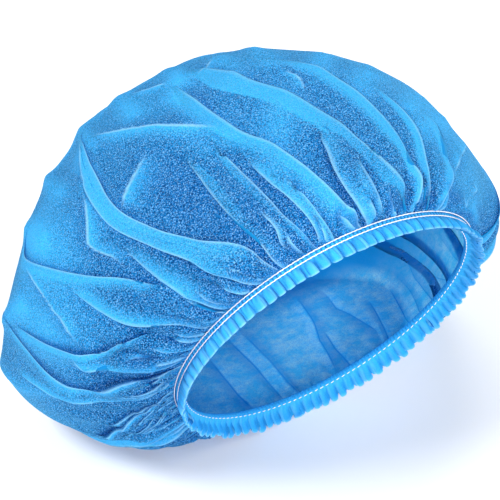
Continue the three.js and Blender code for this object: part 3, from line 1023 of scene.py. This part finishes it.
def outer_colour(tree, marks, web):
    """Colour of the outside: dark and porous in one layer, bright where the cloth lies folded, with painted
    sheen, painted light and painted shade by the creases and folds, and a painted highlight along the
    edges.
    """
    # Painted sheen: lighter toward the middle of the crown
    far_sheen = math_node(tree, "MULTIPLY", smooth_range(tree, marks["share"], 0.45, 0.7), FAR_SHEEN)
    dense_and_lit = math_node(tree, "MAXIMUM", marks["dense_and_lit"], far_sheen)
    # Painted light on a crease's lit side
    crease_bright = math_node(tree, "MULTIPLY", marks["bright_side"], CREASE_PAINTED_LIGHT)
    dense_and_lit = math_node(tree, "MAXIMUM", dense_and_lit, crease_bright)
    colour = mix_colour(tree, dense_and_lit, PANEL_BLUE, LAYERED_BLUE)
    # Painted shade on a crease's shaded side, joined with the painted shade of the folds, toward a deep
    # blue
    crease_dark = math_node(tree, "MULTIPLY", marks["dark_side"], CREASE_PAINTED_SHADE)
    painted_shade = math_node(tree, "MAXIMUM", marks["painted_shade"], crease_dark)
    colour = mix_colour(tree, math_node(tree, "MULTIPLY", painted_shade, PAINTED_SHADE_SHARE), colour, PAINTED_SHADE_BLUE)
    lost_fibres = math_node(tree, "MULTIPLY", dense_and_lit, FIBRE_LOST_IN_LAYERS)
    fibres = math_node(tree, "SUBTRACT", FIBRE_SHARE, lost_fibres)
    fibres = math_node(tree, "MULTIPLY", web.outputs["Fibres"], fibres)
    colour = mix_colour(tree, fibres, colour, FIBRE_BLUE)
    lost_pores = math_node(tree, "MULTIPLY", dense_and_lit, PORE_LOST_IN_LAYERS)
    pores = math_node(tree, "SUBTRACT", PORE_SHARE, lost_pores)
    pores = math_node(tree, "MULTIPLY", web.outputs["Pores"], pores)
    colour = mix_colour(tree, pores, colour, PORE_BLUE)
    # Painted highlight along crease edges and the ruffle
    edge = math_node(tree, "MAXIMUM", marks["edge"], marks["crease_line"])
    return mix_colour(tree, math_node(tree, "MULTIPLY", edge, EDGE_HIGHLIGHT_SHARE), colour, CREASE_HIGHLIGHT_BLUE)


def inner_colour(tree, marks, web, place):
    """Colour of the inside: a lit, milky copy low down and by the opening as painted light, a darker copy
    high up as painted shade, with streaks of painted shade.
    """
    height = tree.nodes.new("ShaderNodeSeparateXYZ")
    tree.links.new(place, height.inputs["Vector"])
    # Painted light: the cloth lying on the floor and the cloth by the opening, low down, take the lit
    # colours, and the rest takes the shaded one
    lit_low_down = smooth_range(tree, height.outputs["Z"], 0.008, 0.001)
    lit_low_down = math_node(tree, "MULTIPLY", lit_low_down, smooth_range(tree, marks["share"], 0.5, 0.36))
    painted_light = math_node(tree, "MAXIMUM", lit_low_down, smooth_range(tree, marks["share"], 0.46, 0.2))
    painted_light = math_node(tree, "MULTIPLY", painted_light, smooth_range(tree, height.outputs["Z"], 0.08, 0.055))
    milky = mix_colour(tree, web.outputs["Cloud"], INNER_BLUE, INNER_MILKY)
    colour = mix_colour(tree, painted_light, INNER_SHADE_HIGH, milky)
    # Streaks of painted shade along creases and folds, stronger where the painted light is
    crease_streak = math_node(tree, "MULTIPLY", marks["dark_side"], STREAK_CREASE)
    shade_streak = math_node(tree, "MULTIPLY", marks["painted_shade"], STREAK_PAINTED_SHADE)
    streak = math_node(tree, "MAXIMUM", crease_streak, marks["crease_line"])
    streak = math_node(tree, "MAXIMUM", streak, shade_streak)
    streak_share = math_node(tree, "MULTIPLY", painted_light, 1 - STREAK_HIGH_UP)
    streak_share = math_node(tree, "ADD", streak_share, STREAK_HIGH_UP)
    colour = mix_colour(tree, math_node(tree, "MULTIPLY", streak, streak_share), colour, INNER_FOLD_SHADE)
    pores = math_node(tree, "MULTIPLY", web.outputs["Pores"], INNER_PORE_SHARE)
    return mix_colour(tree, pores, colour, INNER_PORE)


def nonwoven_material(web_group):
    """Thin blue nonwoven that lets some light through, with a colour for each of its faces."""
    material = bpy.data.materials.new("nonwoven")
    material.use_nodes = True
    tree = material.node_tree
    link = tree.links.new
    shader = tree.nodes["Principled BSDF"]
    place = tree.nodes.new("ShaderNodeTexCoord").outputs["Object"]
    web = tree.nodes.new("ShaderNodeGroup")
    web.node_tree = web_group
    link(place, web.inputs["Vector"])
    marks = cloth_marks(tree)
    face = tree.nodes.new("ShaderNodeNewGeometry")
    outer = outer_colour(tree, marks, web)
    inner = inner_colour(tree, marks, web, place)
    colour = mix_colour(tree, face.outputs["Backfacing"], outer, inner)
    link(colour, shader.inputs["Base Color"])
    shader.inputs["Roughness"].default_value = 0.85
    shader.inputs["Specular IOR Level"].default_value = 0.08
    shader.inputs["Sheen Weight"].default_value = 0.6
    shader.inputs["Sheen Roughness"].default_value = 0.5
    shader.inputs["Sheen Tint"].default_value = SHEEN_BLUE
    bump = add_node(tree, "ShaderNodeBump", Strength=0.25, Distance=0.0004)
    link(web.outputs["Fibres"], bump.inputs["Height"])
    link(bump.outputs["Normal"], shader.inputs["Normal"])
    glow = tree.nodes.new("ShaderNodeBsdfTranslucent")
    link(colour, glow.inputs["Color"])
    mixed = tree.nodes.new("ShaderNodeMixShader")
    mixed.inputs["Fac"].default_value = LIGHT_LET_THROUGH
    link(shader.outputs["BSDF"], mixed.inputs[1])
    link(glow.outputs["BSDF"], mixed.inputs[2])
    link(mixed.outputs["Shader"], tree.nodes["Material Output"].inputs["Surface"])
    return material


def plain_material(name, colour, speckle, scale, roughness):
    """A matt material with a fine uneven tone."""
    material = bpy.data.materials.new(name)
    material.use_nodes = True
    tree = material.node_tree
    shader = tree.nodes["Principled BSDF"]
    place = tree.nodes.new("ShaderNodeTexCoord")
    noise = add_node(tree, "ShaderNodeTexNoise", Scale=scale, Detail=2.0)
    tree.links.new(place.outputs["Object"], noise.inputs["Vector"])
    darker = tuple(channel * (1 - speckle) for channel in colour[:3]) + (1,)
    tone = mix_colour(tree, noise.outputs["Fac"], darker, colour)
    tree.links.new(tone, shader.inputs["Base Color"])
    shader.inputs["Roughness"].default_value = roughness
    return material


def make_floor():
    """A wide pale floor."""
    bpy.ops.object.select_all(action="DESELECT")
    bpy.ops.mesh.primitive_plane_add(size=8)
    floor = bpy.context.object
    floor.name = "floor"
    floor.data.materials.append(plain_material("floor_white", FLOOR_WHITE, 0.01, 3.0, 0.9))


def place_light(data, place, target):
    """A light at a place, turned to a target."""
    light = bpy.data.objects.new(data.name, data)
    light.location = place
    direction = np.array(target) - np.array(place)
    across = math.hypot(direction[0], direction[1])
    tilt = math.atan2(across, -direction[2])
    turn = math.atan2(-direction[0], direction[1])
    light.rotation_euler = (tilt, 0, turn)
    bpy.context.scene.collection.objects.link(light)


def make_light():
    """White surroundings with soft lights round the cap and a narrow one into its opening."""
    scene = bpy.context.scene
    world = bpy.data.worlds.new("studio")
    world.use_nodes = True
    background = world.node_tree.nodes["Background"]
    background.inputs["Color"].default_value = (1, 1, 1, 1)
    background.inputs["Strength"].default_value = SURROUNDINGS
    scene.world = world
    for name, place, target, size, power in LIGHTS:
        soft = bpy.data.lights.new(name, "AREA")
        soft.size = size
        soft.energy = power
        place_light(soft, place, target)
    narrow = bpy.data.lights.new("mouth", "SPOT")
    narrow.energy = MOUTH_POWER
    narrow.spot_size = MOUTH_SPREAD
    narrow.spot_blend = 1.0
    narrow.shadow_soft_size = 0.05
    place_light(narrow, MOUTH_PLACE, MOUTH_TARGET)
    scene.view_settings.view_transform = "Standard"


def make_camera():
    """The camera at the photograph's angle."""
    data = bpy.data.cameras.new("camera")
    data.lens = CAMERA_LENS
    data.sensor_width = 36
    camera = bpy.data.objects.new("camera", data)
    camera.location = CAMERA_PLACE
    camera.rotation_euler = (CAMERA_TILT, 0, CAMERA_TURN)
    bpy.context.scene.collection.objects.link(camera)
    bpy.context.scene.camera = camera


make_camera()
make_floor()
make_light()
nonwoven = nonwoven_material(nonwoven_group())
thread = plain_material("thread", THREAD_WHITE, 0.1, 3000.0, 0.7)
elastic = plain_material("elastic", ELASTIC_WHITE, 0.25, 1500.0, 0.8)

crown = make_crown(nonwoven)
hem = make_hem(nonwoven)
stitches = make_stitches(thread)
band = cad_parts["elastic_band"]
band.data.materials.clear()
band.data.materials.append(elastic)

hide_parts("crown")
for piece in (crown, hem, stitches):
    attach(piece, "root")
